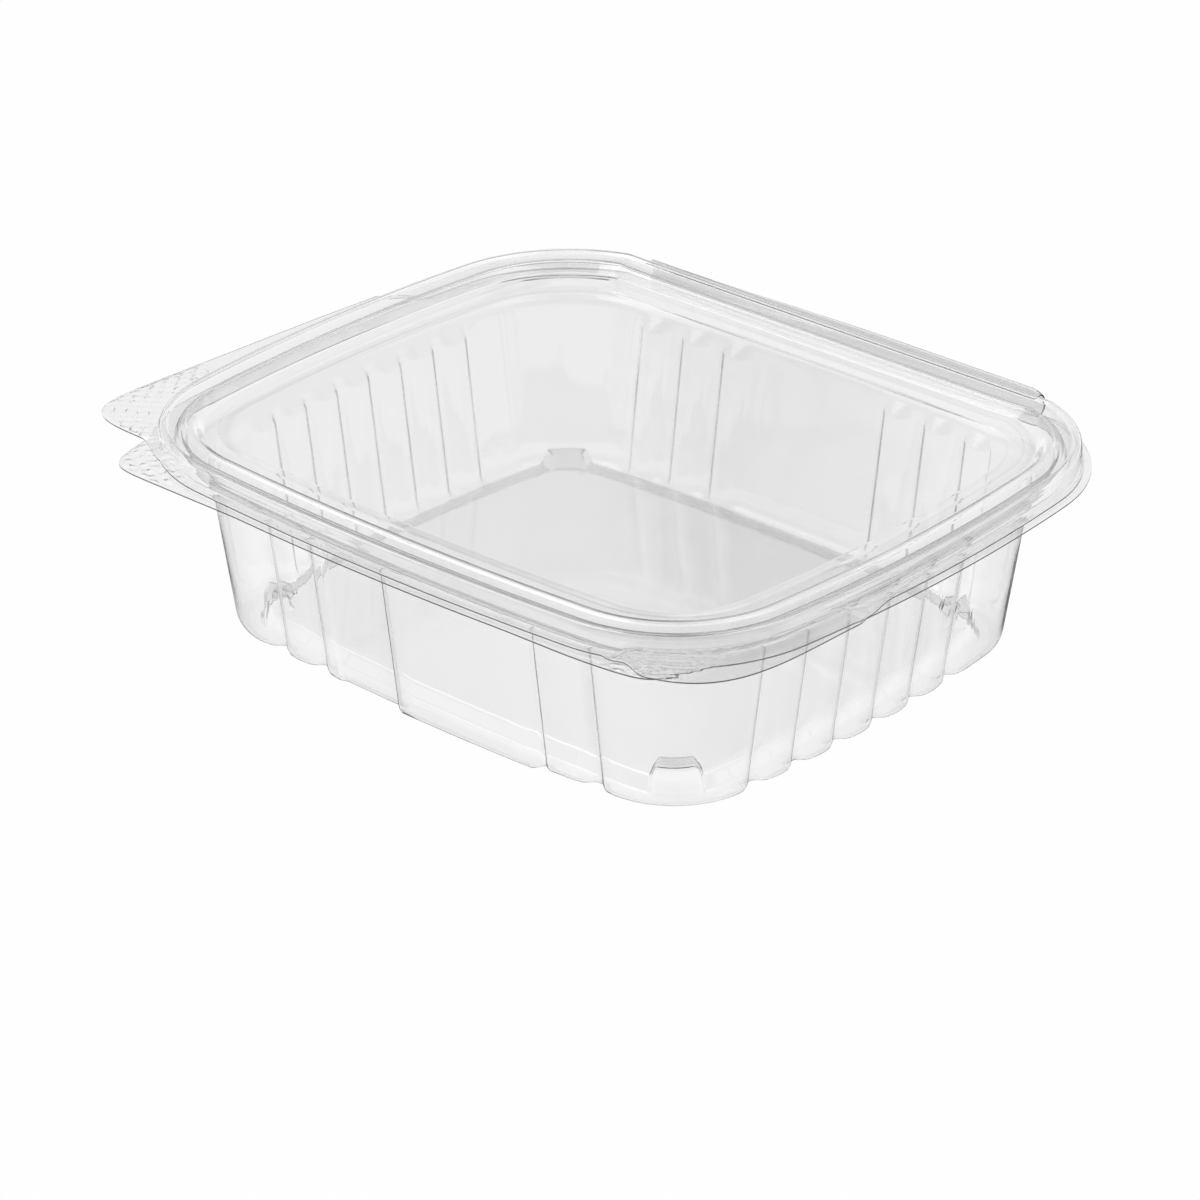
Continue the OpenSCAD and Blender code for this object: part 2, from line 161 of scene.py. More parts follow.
# Tray section: inset, height, share of straight back, ribs, tabs, lugs, rise, rounding
TRAY_SECTION = [
    (0.0, 42.6, 1, 0, 1, 0, 0, 0.0),
    (1.0, 42.6, 1, 0, 0, 0, 0, 0),
    (1.8, 42.6, 1, 0, 0, 0, 0, 0),
    (2.6, 42.6, 1, 0, 0, 0, 0, 0),
    (3.4, 42.6, 1, 0, 0, 0, 0, 0),
    (4.3, 42.6, 1, 0, 0, 0, 0, 0),
    (5.5, 42.6, 1, 0, 0, 0, 0, 0.5),
    (5.85, 45.6, 1, 0, 0, 0, 0, 0.6),
    (6.6, 46.8, 1, 0, 0, 0, 0, 0.5),
    (7.0, 46.8, 1, 0, 0, 0, 0, 0.4),
    (8.0, 45.5, 1, 0, 0, 0, 0, 0.6),
    (8.7, 41.1, 1, 0, 0, 0, 0, 0.4),
    (9.2, 40.7, 0.8, 0, 0, 0, 0, 0.3),
    (10.9, 40.6, 0, 0, 0, 0, 0, 0.6),
    (11.9, 40.0, 0, 0, 0, 0, 0, 0.4),
    (12.7, 39.0, 0, 0, 0, 0, 0, 0.3),
    (13.06, 36.4, 0, 1, 0, 0, 0, 0.3),
    (17.8, 2.2, 0, 1, 0, 0, 0, 0.8),
    (18.5, 0.7, 0, 1, 0, 0, 0, 0.7),
    (20.2, 0.0, 0, 0.9, 0, 0, 0, 0.6),
    (24.7, 0.0, 0, 0, 0, 1, 0, 0.8),
    (25.5, 3.2, 0, 0, 0, 1, 1, 0.35),
    (26.0, 3.7, 0, 0, 0, 0.8, 1, 0.3),
    (28.7, 3.7, 0, 0, 0, 0, 1, 0.5),
    (29.7, 3.7, 0, 0, 0, 0, 0, 0.5),
]

# Lid section, in the same order
LID_SECTION = [
    (1.6, LID_Z, 1, 0, 1, 0, 1, 0.0),
    (1.65, LID_Z, 1, 0, 0, 0, 1, 0),
    (2.05, LID_Z, 1, 0, 0, 0, 1, 0.3),
    (2.35, LID_Z + 0.45, 1, 0, 0, 0, 1, 0.3),
    (2.5, RIM_TOP - 1.3, 1, 0, 0, 0, 0, 0.5),
    (2.7, RIM_TOP - 0.6, 1, 0, 0, 0, 0, 0.3),
    (3.2, RIM_TOP - 0.3, 1, 0, 0, 0, 0, 0.3),
    (3.8, RIM_TOP - 0.3, 1, 0, 0, 0, 0, 0.25),
    (4.4, RIM_TOP - 0.9, 1, 0, 0, 0, 0, 0.3),
    (8.2, RIM_TOP - 0.9, 1, 0, 0, 0, 0, 0.3),
    (8.8, RIM_TOP - 0.4, 1, 0, 0, 0, 0, 0.3),
    (9.5, RIM_TOP - 0.4, 1, 0, 0, 0, 0, 0.3),
    (10.3, RIM_TOP - 0.9, 1, 0, 0, 0, 0, 0.4),
    (11.7, RIM_TOP - 2.1, 1, 0, 0, 0, 0, 0.4),
    (12.3, RIM_TOP - 2.5, 1, 0, 0, 0, 0, 0.4),
    (15.1, RIM_TOP - 2.5, 1, 0, 0, 0, 0, 0.6),
    (18.3, RIM_TOP - 3.1, 1, 0, 0, 0, 0, 0.8),
]

# Middles, width and pitch of the ribs along each side
RIGHT_RIBS = (-4.5 + 13.0 * (np.arange(6) - 2.5), 5.8, 13.0)
LEFT_RIBS = (-2.3 + 10.4 * (np.arange(7) - 3.0), 7.8, 10.4)
BACK_RIBS = (1.0 + np.array([-47.9, -35.9, -23.9, 23.9, 35.9, 47.9]), 7.4, 12.0)
FRONT_RIBS = (np.array([-46.8, -33.6, 46.8]), 5.8, 13.2)

# Steps of the front wall: start, width, and the rib share before and after
FRONT_STEPS = [
    (-27.0, 1.8, 0.0, 0.29),
    (-8.05, 2.1, 0.29, -0.625),
    (30.85, 2.3, -0.625, 0.45),
    (33.5, 1.8, 0.45, 0.0),
]

# Rings: widest gap on the short and long sides, then steps round a back and a front corner
TRAY_RING = ((6, 6), 18, 80)
LID_RING = ((3.5, 4.5), 28, 96)

# Points on a rounded corner of the section, then steps along its outermost row
TRAY_COUNTS = (3, 20)
LID_COUNTS = (4, 22)

# Finer places at the front ends of the lid's short sides, where the knurled tabs start
LID_FINE = np.arange(-41.6, -20.0, 0.6)

# Columns and rows of the hinge web's grid, and rounds of smoothing of its curl
WEB_COLUMNS = 81
WEB_ROWS = 27
WEB_ROUNDS = 4


def smooth(t):
    """3 t^2 - 2 t^3 on 0..1, held flat outside."""
    t = np.clip(t, 0.0, 1.0)
    return t * t * (3 - 2 * t)


def rib_profile(ribs):
    """Places along a side with the rib share there: a smooth flank beside a rib, then a lobe's soft crown."""
    middles, width, pitch = ribs
    inner = FLANK_MIDDLE * width - FLANK / 2
    u = np.concatenate([[0.0], inner + FLANK * np.linspace(0, 1, 5), [(inner + FLANK + pitch / 2) / 2]])
    share = (1 - CROWN) * (1 - smooth((u - inner) / FLANK)) + CROWN * (1 - smooth(2 * u / pitch))
    u = np.concatenate([-u[:0:-1], u])
    share = np.concatenate([share[:0:-1], share])
    place = (middles[:, None] + u).ravel()
    ends = np.concatenate([middles - pitch / 2, middles[-1:] + pitch / 2])
    gaps = np.array([p for p in ends if np.abs(place - p).min() > 0.4])
    place = np.concatenate([place, gaps])
    return np.stack([place, np.concatenate([np.tile(share, len(middles)), 0 * gaps])], axis=1)


def step_rows(steps):
    """Rows of place and share for a list of steps, each a smooth flank from one share to the next."""
    t = np.linspace(0, 1, 7)
    return np.concatenate([
        np.stack([start + width * t, before + (after - before) * smooth(t)], axis=1)
        for start, width, before, after in steps])


def side_rows(rows, half, step):
    """Rows of place and share from -half to half, with places added so that no gap is wider than step."""
    rows = rows[np.abs(rows[:, 0]) < half - 0.15]
    rows = np.concatenate([[[-half, 0.0]], rows[np.argsort(rows[:, 0])], [[half, 0.0]]])
    places = [rows[:1, 0]]
    for a, b in zip(rows[:-1, 0], rows[1:, 0]):
        n = max(1, int(np.ceil((b - a) / step)))
        places.append(a + (b - a) * np.arange(1, n + 1) / n)
    place = np.concatenate(places)
    return place, np.interp(place, rows[:, 0], rows[:, 1])


def round_ring(right, back, left, front, step, back_n, front_n):
    """Directions round the rim in degrees from the right side's front end, with the rib share at each."""
    half_s = (SHORT_R - SIDE_INSET) * np.sin(np.radians(SHORT_END))
    half_l = (LONG_R - SIDE_INSET) * np.sin(np.radians(90 - LONG_END))
    phi = []
    share = []

    def side(rows, half, radius, start, sign, gap):
        place, depth = side_rows(rows, half, gap)
        angle = np.degrees(np.arcsin(np.clip(place / radius, -1, 1)))
        order = slice(None) if sign > 0 else slice(None, None, -1)
        phi.append((start + sign * angle)[order][:-1])
        share.append(depth[order][:-1])

    def corner(a, b, n):
        phi.append(a + (b - a) * np.arange(n) / n)
        share.append(np.zeros(n))

    short_r = SHORT_R - SIDE_INSET
    long_r = LONG_R - SIDE_INSET
    side(right, half_s, short_r, 0.0, 1, step[0])
    corner(SHORT_END, LONG_END, back_n)
    side(back, half_l, long_r, 90.0, -1, step[1])
    corner(180 - LONG_END, 180 - SHORT_END, back_n)
    side(left, half_s, short_r, 180.0, -1, step[0])
    corner(180 + SHORT_END, 180 + LONG_END, front_n)
    side(front, half_l, long_r, 270.0, 1, step[1])
    corner(360 - LONG_END, 360 - SHORT_END, front_n)
    return np.concatenate(phi), np.concatenate(share)


def bowed(phi, inset):
    """Point of the outline that faces phi, moved in: arc centre + (arc radius - inset) (cos phi, sin phi)."""
    c = np.cos(np.radians(phi))
    s = np.sin(np.radians(phi))
    f = np.degrees(np.arctan2(np.abs(s), np.abs(c)))
    qx = np.where(c < 0, -1.0, 1.0)
    qy = np.where(s < 0, -1.0, 1.0)
    cx = np.where(f <= SHORT_END, SHORT_C[0], np.where(f >= LONG_END, LONG_C[0], CORNER_C[0]))
    cy = np.where(f <= SHORT_END, SHORT_C[1], np.where(f >= LONG_END, LONG_C[1], CORNER_C[1]))
    r = np.where(f <= SHORT_END, SHORT_R, np.where(f >= LONG_END, LONG_R, CORNER_R))
    return qx * cx + (r - inset) * c, qy * cy + (r - inset) * s


def right_side(phi):
    """Whether a direction is at the right of the rim."""
    return (phi > 270) | (phi < 90)


def tab_reach(phi, inset, side_line, front_line, power, start, end, taper=4):
    """How far a front tab carries the edge out: the power mean of the ways to its side and front lines."""
    turned = np.where(phi > 270, 540 - phi, np.where(phi < 90, 180 - phi, phi))
    x, y = bowed(turned, inset)
    c = np.cos(np.radians(turned))
    s = np.sin(np.radians(turned))
    out = []
    for nx, ny, distance in (side_line, front_line):
        slope = c * nx + s * ny
        gap = distance - x * nx - y * ny
        out.append(np.where(slope > 0.01, np.maximum(gap, 0) / np.maximum(slope, 0.01), 1000))
    least = np.minimum(out[0], out[1])
    a = np.maximum(out[0], 1e-6)
    b = np.maximum(out[1], 1e-6)
    reach = (a**-power + b**-power) ** (-1 / power)
    shown = (turned > start) & (turned < end) & (least > 0)
    fade = np.minimum(1, np.minimum((turned - start) / 2, (end - turned) / taper))
    return np.where(shown, reach * fade, 0)


def tray_tab(phi):
    """Outline of the tray's two front tabs, of which the right one is smaller."""
    reach = tab_reach(phi, 0.0, TRAY_TAB_SIDE, TRAY_TAB_FRONT, 2.5, 180 + SHORT_END, 270)
    return reach * np.where(right_side(phi), RIGHT_TRAY_TAB, 1.0)


def lid_tab(phi):
    """Outline of the lid's two front tabs: the left one reaches out, the right one hugs the corner."""
    left = tab_reach(phi, LID_INSET, LEFT_TAB_SIDE, LEFT_TAB_FRONT, 2.0, 175.4, 270)
    right = tab_reach(phi, LID_INSET, RIGHT_TAB_SIDE, RIGHT_TAB_FRONT, 1.3, 182.5, 252, 15)
    return np.where(right_side(phi), right, left)


def lug_share(phi):
    """1 over the middle of each corner and 0 elsewhere, with soft ends."""
    c = np.abs(np.cos(np.radians(phi)))
    s = np.abs(np.sin(np.radians(phi)))
    share = (np.degrees(np.arctan2(s, c)) - SHORT_END) / (LONG_END - SHORT_END)
    return smooth((LUG_HALF - np.abs(share - 0.5)) / LUG_SOFT)


def rounded_section(rows, rounding, per_corner, edge_n):
    """Turns each inner corner of a section into a quadratic curve with equal legs of at most a rounding."""
    t = (np.arange(edge_n) / edge_n)[:, None, None] * 0.9
    out = [rows[0] + (rows[1] - rows[0]) * t]
    t = (np.arange(per_corner) / (per_corner - 1))[:, None, None]
    for before, here, after, size in zip(rows[:-2], rows[1:-1], rows[2:], rounding[1:-1]):
        if size == 0:
            out.append(here[None])
            continue
        la = np.maximum(np.hypot(*(here - before)[:, :2].T), 1e-6)[:, None]
        lb = np.maximum(np.hypot(*(after - here)[:, :2].T), 1e-6)[:, None]
        leg = np.minimum(size, 0.42 * np.minimum(la, lb))
        a = here + (before - here) * leg / la
        b = here + (after - here) * leg / lb
        out.append((1 - t) ** 2 * a + 2 * t * (1 - t) * here + t**2 * b)
    out.append(rows[-1:])
    return np.concatenate(out)


def grid_normals(grid):
    """Unit normals of a grid closed round its second axis: up on the flange, inwards on the wall."""
    around = np.roll(grid, -1, axis=1) - np.roll(grid, 1, axis=1)
    down = np.gradient(grid, axis=0)
    n = np.cross(around, down)
    return n / np.maximum(np.linalg.norm(n, axis=2, keepdims=True), 1e-9)


def sheet_mesh(name, lower, upper):
    """Closed sheet from two grids of rings, joined at the outer edge and closed by rings that shrink."""
    def with_middle(grid):
        ring = grid[-1]
        centre = ring.mean(axis=0)
        rings = [centre + (ring - centre) * f for f in (0.995, 0.985, 0.96, 0.9, 0.7, 0.4, 0.1)]
        return np.concatenate([grid, np.array(rings)])

    skins = [with_middle(lower), with_middle(upper)]
    levels, around = skins[0].shape[:2]
    points = np.concatenate([s.reshape(-1, 3) for s in skins])
    centres = np.array([s[-1].mean(axis=0) for s in skins])
    points = np.concatenate([points, centres])
    j = np.arange(around)
    j2 = (j + 1) % around
    k = np.arange(levels - 1)[:, None]
    a = k * around + j
    b = k * around + j2
    c = (k + 1) * around + j2
    d = (k + 1) * around + j
    top = levels * around
    under = np.stack([d, c, b, a], axis=-1).reshape(-1, 4)
    over = np.stack([a, b, c, d], axis=-1).reshape(-1, 4) + top
    edge = np.stack([j, j2, j2 + top, j + top], axis=-1)
    quads = np.concatenate([edge, under, over])
    last = (levels - 1) * around
    low_c = 2 * top
    fans = np.concatenate([
        np.stack([last + j2, last + j, np.full(around, low_c)], axis=-1),
        np.stack([top + last + j, top + last + j2, np.full(around, low_c + 1)], axis=-1),
    ])
    piece = mesh_object(name, points, quads, fans)
    slots = np.zeros(len(piece.data.polygons), np.int32)
    slots[:around] = 1
    piece.data.polygons.foreach_set("material_index", slots)
    return piece


def mesh_object(name, points, quads, triangles=None):
    """Object at the origin from points in millimetres, with smooth faces and sharp folds."""
    mesh = bpy.data.meshes.new(name)
    tri_n = 0 if triangles is None else len(triangles)
    loops = quads.ravel() if tri_n == 0 else np.concatenate([quads.ravel(), triangles.ravel()])
    sizes = np.concatenate([np.full(len(quads), 4), np.full(tri_n, 3)])
    starts = np.concatenate([[0], np.cumsum(sizes)[:-1]])
    mesh.vertices.add(len(points))
    mesh.vertices.foreach_set("co", (points * MM).astype(np.float32).ravel())
    mesh.loops.add(len(loops))
    mesh.loops.foreach_set("vertex_index", loops.astype(np.int32))
    mesh.polygons.add(len(sizes))
    mesh.polygons.foreach_set("loop_start", starts.astype(np.int32))
    mesh.update(calc_edges=True)
    mesh.validate()
    mesh.polygons.foreach_set("use_smooth", np.ones(len(mesh.polygons), bool))
    mesh.set_sharp_from_angle(angle=np.radians(50))
    piece = bpy.data.objects.new(name, mesh)
    bpy.context.scene.collection.objects.link(piece)
    return piece


def knurl(x, y, pitch):
    """Square pads between crossed grooves, 0 in a groove and 1 on a pad."""
    u = 0.82 * x + 0.57 * y
    v = -0.57 * x + 0.82 * y
    a = np.abs(np.cos(np.pi * u / pitch))
    b = np.abs(np.cos(np.pi * v / pitch))
    return smooth(a / 0.5) * (0.3 + 0.7 * smooth(b / 0.45))


def pebble(x, y, size):
    """Rounded bumps with no rows, 0 to 1: the clipped sum of waves in seven directions."""
    total = np.zeros_like(x)
    for k in range(7):
        angle = 0.4 + 0.9 * k
        wave = 2 * np.pi / (size * (0.8 + 0.13 * ((k * 3) % 5)))
        total += np.cos(wave * (np.cos(angle) * x + np.sin(angle) * y) + 1.7 * k)
    return np.clip(0.35 + total / 4.2, 0, 1)


def formed_sheet(name, section, counts, ring, is_lid, texture):
    """Section carried round the rim: inset + ribs - lugs - tabs, height + rise, and a skin a sheet above."""
    phi, ribs = ring
    table = np.array(section, float)
    inset, height, straight, rib, tab, lug, rise = (table[:, k, None] for k in range(7))
    reach = lid_tab(phi) if is_lid else tray_tab(phi)
    lugs = lug_share(phi)
    total = inset + RIB_DEPTH * rib * ribs - LUG_REACH * lug * lugs - tab * reach
    spacing, relief = texture
    right_lift = RIGHT_TAB_LIFT * smooth(reach / 8)
    left_lift = LEFT_TAB_LIFT * smooth(reach / 3)
    lift = np.where(right_side(phi), right_lift, left_lift) if is_lid else LUG_RISE * lugs
    rows = np.stack([total, height + rise * lift, straight + 0 * total, tab * reach], axis=-1)
    rows = rounded_section(rows, table[:, 7], *counts)
    total, z, straight, beyond = np.moveaxis(rows, -1, 0)
    x, y = bowed(phi[None, :], total)
    edge_y = bowed(phi, np.zeros_like(phi))[1]
    y = y + straight * np.minimum(0, HINGE_Y - edge_y)
    # The texture covers each tab up to a smooth border along its edge and along the wall
    edge = smooth((reach - beyond - 0.25) / 0.5)
    if is_lid:
        pattern = knurl(x, y, spacing)
        mask = edge * smooth((beyond - 0.8) / 0.8) * smooth((-y - 31) / 9) * smooth((88 - x) / 6)
    else:
        pattern = pebble(x, y, spacing)
        mask = edge * smooth((4.6 - total) / 0.5) * smooth((reach - 1.5) / 1.5)
    z = z + relief * pattern * mask
    lower = np.stack([x, y, z], axis=-1)
    across = grid_normals(lower)
    across[-1] = (0, 0, 1)
    return sheet_mesh(name, lower, lower + SHEET * across)


def linear(colour):
    """sRGB hex text to linear RGBA."""
    srgb = np.array([int(colour[k:k + 2], 16) / 255 for k in (1, 3, 5)])
    rgb = np.where(srgb <= 0.04045, srgb / 12.92, ((srgb + 0.055) / 1.055) ** 2.4)
    return (*rgb.tolist(), 1.0)


def new_material(name):
    """New material with an empty node tree."""
    material = bpy.data.materials.new(name)
    material.use_nodes = True
    material.node_tree.nodes.clear()
    return material, material.node_tree


def add_node(tree, kind, **inputs):
    """New node of a kind, with its named inputs set."""
    node = tree.nodes.new(kind)
    for key, value in inputs.items():
        node.inputs[key.replace("_", " ")].default_value = value
    return node


def clear_sheet(name, tint):
    """Thermoformed clear PET sheet: smooth, slightly grey, with the faint waviness that the mould leaves; a
    darker tint, as on the hinge web, is painted shade.
    """
    # Gives the eye clear flats that darken where the sheet is seen at a slant, and highlights that wander
    settings = bpy.context.scene.container_sheet
    material, tree = new_material(name)
    surface = add_node(
        tree, "ShaderNodeBsdfPrincipled",
        Base_Color=linear(tint), Roughness=settings.roughness, IOR=settings.ior, Transmission_Weight=1.0,
    )
    place = add_node(tree, "ShaderNodeTexCoord")
    waves = add_node(tree, "ShaderNodeTexNoise", Scale=WAVE_SCALE, Detail=1.0)
    bump = add_node(tree, "ShaderNodeBump", Strength=WAVE_STRENGTH, Distance=MM)
    out = add_node(tree, "ShaderNodeOutputMaterial")
    tree.links.new(place.outputs["Object"], waves.inputs["Vector"])
    tree.links.new(waves.outputs["Fac"], bump.inputs["Height"])
    tree.links.new(bump.outputs["Normal"], surface.inputs["Normal"])
    tree.links.new(surface.outputs["BSDF"], out.inputs["Surface"])
    return material


def cut_edge():
    """Edge of the PET sheet where the die cut it, rough from the cut."""
    # Gives the eye a thin frosted grey line round the rim, because the rough face scatters light
    material, tree = new_material("die_cut_edge")
    surface = add_node(
        tree, "ShaderNodeBsdfPrincipled",
        Base_Color=linear(EDGE_TINT), Roughness=EDGE_ROUGHNESS, IOR=PET_IOR, Transmission_Weight=EDGE_CLEAR,
    )
    out = add_node(tree, "ShaderNodeOutputMaterial")
    tree.links.new(surface.outputs["BSDF"], out.inputs["Surface"])
    return material


class SheetSettings(bpy.types.PropertyGroup):
    """Look of the clear sheet"""
    roughness: FloatProperty(
        name="Roughness", description="Roughness of the sheet",
        default=0.03, min=0, max=1)
    ior: FloatProperty(
        name="IOR", description="Refractive index of the sheet",
        default=PET_IOR, min=1, max=2)


class TraySettings(bpy.types.PropertyGroup):
    """Texture of the tray tabs"""
    pebble_size: FloatProperty(
        name="Pebble size", description="Spacing of the pebbles",
        default=0.0026, unit="LENGTH", subtype="DISTANCE")
    pebble_height: FloatProperty(
        name="Pebble height", description="Height of the pebbles",
        default=0.0003, unit="LENGTH", subtype="DISTANCE")


class LidSettings(bpy.types.PropertyGroup):
    """Texture of the lid tabs"""
    knurl_pitch: FloatProperty(
        name="Knurl pitch", description="Spacing of the grooves",
        default=0.0027, unit="LENGTH", subtype="DISTANCE")
    knurl_height: FloatProperty(
        name="Knurl height", description="Height of the pads",
        default=0.00026, unit="LENGTH", subtype="DISTANCE")


class HingeSettings(bpy.types.PropertyGroup):
    """Shape of the hinge web"""
    bulge: FloatProperty(
        name="Bulge", description="How far the web curls out",
        default=0.0048, unit="LENGTH", subtype="DISTANCE")


class StageSettings(bpy.types.PropertyGroup):
    """Floor, light and background"""
    floor_colour: FloatVectorProperty(
        name="Floor", description="Colour of the floor",
        default=linear(FLOOR_TINT)[:3], subtype="COLOR", size=3)
    floor_glow: FloatProperty(
        name="Floor glow", description="Share of the floor that shows plain white",
        default=0.99, min=0, max=1)
    reflected_glow: FloatProperty(
        name="Reflected glow", description="How much of the glow reflections show",
        default=0.12, min=0, max=1)
    sky: FloatProperty(
        name="Ambient", description="Strength of the ambient light",
        default=1.0, min=0, max=4)
    key: FloatProperty(
        name="Key light", description="Power of the key light",
        default=3.0, min=0, max=100, unit="POWER")


class CONTAINER_OT_tray(bpy.types.Operator):
    """Build the ribbed tray"""
    bl_idname = "container.tray"
    bl_label = "Tray"

    def execute(self, context):
        settings = context.scene.container_tray
        front = np.concatenate([rib_profile(FRONT_RIBS), step_rows(FRONT_STEPS)])
        ring = round_ring(
            rib_profile(RIGHT_RIBS), rib_profile(BACK_RIBS), rib_profile(LEFT_RIBS), front, *TRAY_RING)
        texture = (settings.pebble_size / MM, settings.pebble_height / MM)
        piece = formed_sheet("tray_shell", TRAY_SECTION, TRAY_COUNTS, ring, False, texture)
        piece.data.materials.append(clear_sheet("clear_pet_tray", TRAY_TINT))
        piece.data.materials.append(cut_edge())
        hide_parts("tray")
        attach(piece, "tray")
        return {"FINISHED"}


class CONTAINER_OT_lid(bpy.types.Operator):
    """Build the recessed lid"""
    bl_idname = "container.lid"
    bl_label = "Lid"

    def execute(self, context):
        settings = context.scene.container_lid
        fine = np.stack([LID_FINE, np.zeros_like(LID_FINE)], axis=1)
        none = np.zeros((0, 2))
        ring = round_ring(fine, none, fine, none, *LID_RING)
        texture = (settings.knurl_pitch / MM, settings.knurl_height / MM)
        piece = formed_sheet("lid_shell", LID_SECTION, LID_COUNTS, ring, True, texture)
        piece.data.materials.append(clear_sheet("clear_pet_lid", LID_TINT))
        piece.data.materials.append(cut_edge())
        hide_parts("lid")
        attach(piece, "lid")
        return {"FINISHED"}


class CONTAINER_OT_hinge(bpy.types.Operator):
    """Build the hinge web that joins tray and lid"""
    bl_idname = "container.hinge"
    bl_label = "Hinge web"

    def execute(self, context):
        bulge = context.scene.container_hinge.bulge / MM
        across = np.linspace(-1, 1, WEB_COLUMNS)
        # The curl swells from the left end to the middle and ends bluntly at the right
        fullness = 0.12 + 0.88 * smooth((across + 1.0) / 1.2) * smooth((1.0 - across) / 0.12 + 0.35)
        t = np.linspace(0, 1, WEB_ROWS)
        knots = np.linspace(0, 1, len(WEB_OUT))
        out = np.interp(t, knots, WEB_OUT)
        up = np.interp(t, knots, WEB_UP)
        for _ in range(WEB_ROUNDS):
            out[1:-1] = 0.5 * out[1:-1] + 0.25 * (out[:-2] + out[2:])
            up[1:-1] = 0.5 * up[1:-1] + 0.25 * (up[:-2] + up[2:])
        y = HINGE_Y + bulge * np.where(out > 0, fullness[:, None], 1.0) * out
        z = FLANGE_Z + up + 0 * y
        x = across[:, None] * HINGE_HALF + 0 * y
        middle = np.stack([x, y, z], axis=-1)
        along = np.gradient(middle, axis=0)
        round_it = np.gradient(middle, axis=1)
        n = np.cross(along, round_it)
        n /= np.linalg.norm(n, axis=2, keepdims=True)
        skins = [middle - n * SHEET / 2, middle + n * SHEET / 2]
        rows, cols = x.shape
        index = np.arange(rows * cols).reshape(rows, cols)
        size = rows * cols

        def faces(i):
            return np.stack([i[:-1, :-1], i[:-1, 1:], i[1:, 1:], i[1:, :-1]], axis=-1).reshape(-1, 4)

        def band(line):
            return np.stack([line[:-1], line[1:], line[1:] + size, line[:-1] + size], axis=-1)

        loop = np.concatenate([index[0], index[1:, -1], index[-1, -2::-1], index[-2::-1, 0]])
        quads = np.concatenate([faces(index), faces(index)[:, ::-1] + size, band(loop)[:, ::-1]])
        points = np.concatenate([s.reshape(-1, 3) for s in skins])
        piece = mesh_object("hinge_web", points, quads)
        # Tinted darker than tray and lid: painted shade for the web's dark rolled band
        piece.data.materials.append(clear_sheet("clear_pet_hinge_painted_shade", HINGE_SHADE_TINT))
        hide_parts("hinge_strip")
        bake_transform(piece)
        return {"FINISHED"}


class CONTAINER_OT_stage(bpy.types.Operator):
    """Build the floor, the lights, the background and the camera"""
    bl_idname = "container.stage"
    bl_label = "Stage"

    def execute(self, context):
        scene = context.scene
        settings = scene.container_stage
        points = FLOOR_HALF * np.array([[-1, -1, 0], [1, -1, 0], [1, 1, 0], [-1, 1, 0]])
        floor = mesh_object("floor", points, np.array([[0, 1, 2, 3]]))
        paper = lit_paper(settings.floor_colour, settings.floor_glow, settings.reflected_glow)
        floor.data.materials.append(paper)
        build_world(scene, settings.sky)
        area_light("key", settings.key, KEY_SIZE, KEY_PLACE)
        build_camera(scene)
        scene.view_settings.view_transform = "Standard"
        return {"FINISHED"}


def two_values(tree, operation, first, second):
    """Maths on two values, each a socket or a number."""
    node = add_node(tree, "ShaderNodeMath")
    node.operation = operation
    for socket, value in zip(node.inputs, (first, second)):
        if isinstance(value, float):
            socket.default_value = value
        else:
            tree.links.new(value, socket)
    return node.outputs[0]


def lit_paper(colour, glow, reflected):
    """Matt paper sweep that shows plain white to the camera and through the clear sheet."""
    # Gives the eye a white ground, and a greyer one in the sheet's reflections, so that the walls show
    paper, tree = new_material("matt_paper_sweep")
    path = add_node(tree, "ShaderNodeLightPath").outputs
    seen = two_values(tree, "MAXIMUM", path["Is Camera Ray"], path["Is Glossy Ray"])
    seen = two_values(tree, "MAXIMUM", seen, path["Is Transmission Ray"])
    mirrored = two_values(tree, "MULTIPLY", path["Is Reflection Ray"], 1.0 - reflected)
    share = two_values(tree, "SUBTRACT", seen, mirrored)
    share = two_values(tree, "MAXIMUM", share, 0.0)
    share = two_values(tree, "MULTIPLY", share, glow)
    matt = add_node(tree, "ShaderNodeBsdfDiffuse", Color=(*colour, 1))
    white = add_node(tree, "ShaderNodeEmission", Strength=1.0)
    mix = add_node(tree, "ShaderNodeMixShader")
    out = add_node(tree, "ShaderNodeOutputMaterial")
    tree.links.new(share, mix.inputs["Fac"])
    tree.links.new(matt.outputs["BSDF"], mix.inputs[1])
    tree.links.new(white.outputs["Emission"], mix.inputs[2])
    tree.links.new(mix.outputs["Shader"], out.inputs["Surface"])
    return paper


def build_world(scene, strength):
    """White by the horizon, a soft grey room above, darker towards the camera, and a card for the panels."""
    world = bpy.data.worlds.new("studio")
    world.use_nodes = True
    tree = world.node_tree
    tree.nodes.clear()
    place = add_node(tree, "ShaderNodeTexCoord")
    split = add_node(tree, "ShaderNodeSeparateXYZ")
    height = level_ramp(tree, LEVEL_BY_HEIGHT)
    side = level_ramp(tree, LEVEL_TO_CAMERA)
    card = level_ramp(tree, LEVEL_TO_RIGHT)
    tree.links.new(towards(tree, place.outputs["Generated"], TO_CAMERA), side.inputs["Fac"])
    tree.links.new(towards(tree, place.outputs["Generated"], TO_RIGHT), card.inputs["Fac"])
    level = multiply(tree, height.outputs["Color"], side.outputs["Color"])
    level = multiply(tree, level, card.outputs["Color"])
    back = add_node(tree, "ShaderNodeBackground", Strength=strength)
    out = add_node(tree, "ShaderNodeOutputWorld")
    tree.links.new(place.outputs["Generated"], split.inputs["Vector"])
    tree.links.new(split.outputs["Z"], height.inputs["Fac"])
    tree.links.new(level, back.inputs["Color"])
    tree.links.new(back.outputs["Background"], out.inputs["Surface"])
    scene.world = world


def towards(tree, direction, axis):
    """Share of a direction that points along an axis."""
    node = add_node(tree, "ShaderNodeVectorMath")
    node.operation = "DOT_PRODUCT"
    node.inputs[1].default_value = axis
    tree.links.new(direction, node.inputs[0])
    return node.outputs["Value"]


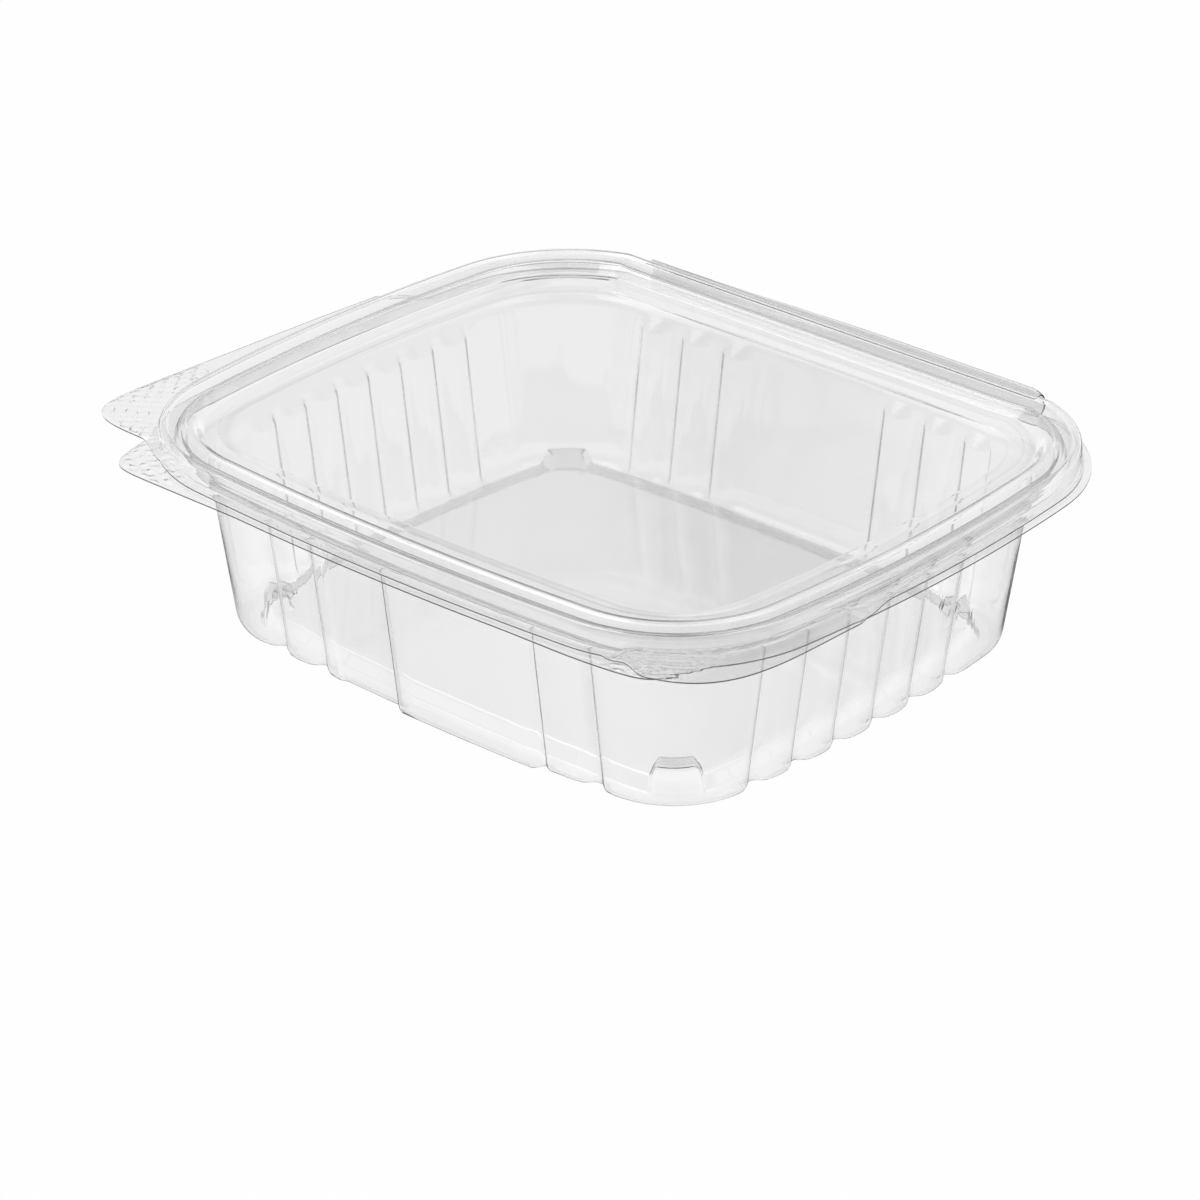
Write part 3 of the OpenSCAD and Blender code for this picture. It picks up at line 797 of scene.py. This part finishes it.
def multiply(tree, first, second):
    """Product of two colours."""
    node = add_node(tree, "ShaderNodeMix", Factor=1.0)
    node.data_type = "RGBA"
    node.blend_type = "MULTIPLY"
    tree.links.new(first, node.inputs["A"])
    tree.links.new(second, node.inputs["B"])
    return node.outputs["Result"]


def level_ramp(tree, stops):
    """Colour ramp of grey levels at the given positions."""
    ramp = add_node(tree, "ShaderNodeValToRGB")
    elements = ramp.color_ramp.elements
    while len(elements) < len(stops):
        elements.new(0.5)
    for element, (position, level) in zip(elements, stops):
        element.position = position
        element.color = (level, level, level, 1)
    return ramp


def area_light(name, power, size, place):
    """Square soft light that looks at the container."""
    light = bpy.data.lights.new(name, "AREA")
    light.energy = power
    light.size = size
    lamp = bpy.data.objects.new(name, light)
    bpy.context.scene.collection.objects.link(lamp)
    lamp.location = place
    aim(lamp, KEY_TARGET)


def aim(item, target):
    """Turns a light or the camera to look at a point, with its top upwards."""
    direction = Vector(target) - item.location
    item.rotation_euler = direction.to_track_quat("-Z", "Y").to_euler()


def build_camera(scene):
    """Camera at the photograph's fitted view."""
    target = np.array(TARGET) * MM
    azimuth, elevation = np.radians([AZIMUTH, ELEVATION])
    back = np.array([
        np.sin(azimuth) * np.cos(elevation), -np.cos(azimuth) * np.cos(elevation), np.sin(elevation)])
    camera = bpy.data.cameras.new("camera")
    camera.sensor_width = SENSOR
    camera.lens = SENSOR * FOCAL_PIXELS / PHOTO_PIXELS
    holder = bpy.data.objects.new("camera", camera)
    scene.collection.objects.link(holder)
    holder.location = target + DISTANCE * back
    aim(holder, target)
    scene.camera = holder


class CONTAINER_PT_panel(bpy.types.Panel):
    """Lists the container's settings and pieces"""
    bl_idname = "CONTAINER_PT_panel"
    bl_label = "Container"
    bl_space_type = "VIEW_3D"
    bl_region_type = "UI"
    bl_category = "Container"

    def draw(self, context):
        layout = self.layout
        for group in PROPERTY_GROUPS:
            holder = getattr(context.scene, group)
            for name in holder.bl_rna.properties.keys():
                if name not in ("rna_type", "name"):
                    layout.prop(holder, name)
        for operator in OPERATORS:
            layout.operator(operator.bl_idname)


PROPERTY_GROUPS = {
    "container_sheet": SheetSettings,
    "container_tray": TraySettings,
    "container_lid": LidSettings,
    "container_hinge": HingeSettings,
    "container_stage": StageSettings,
}
OPERATORS = (CONTAINER_OT_tray, CONTAINER_OT_lid, CONTAINER_OT_hinge, CONTAINER_OT_stage)


def register():
    """Adds the settings, the operators and the panel to Blender."""
    for name, group in PROPERTY_GROUPS.items():
        bpy.utils.register_class(group)
        setattr(bpy.types.Scene, name, PointerProperty(type=group))
    for item in (*OPERATORS, CONTAINER_PT_panel):
        bpy.utils.register_class(item)


def unregister():
    """Takes the panel, the operators and the settings out again."""
    for item in reversed((*OPERATORS, CONTAINER_PT_panel)):
        bpy.utils.unregister_class(item)
    for name, group in PROPERTY_GROUPS.items():
        delattr(bpy.types.Scene, name)
        bpy.utils.unregister_class(group)


def main():
    """Builds every piece and the stage."""
    register()
    bpy.ops.container.tray()
    bpy.ops.container.lid()
    bpy.ops.container.hinge()
    bpy.ops.container.stage()


if __name__ == "__main__":
    main()
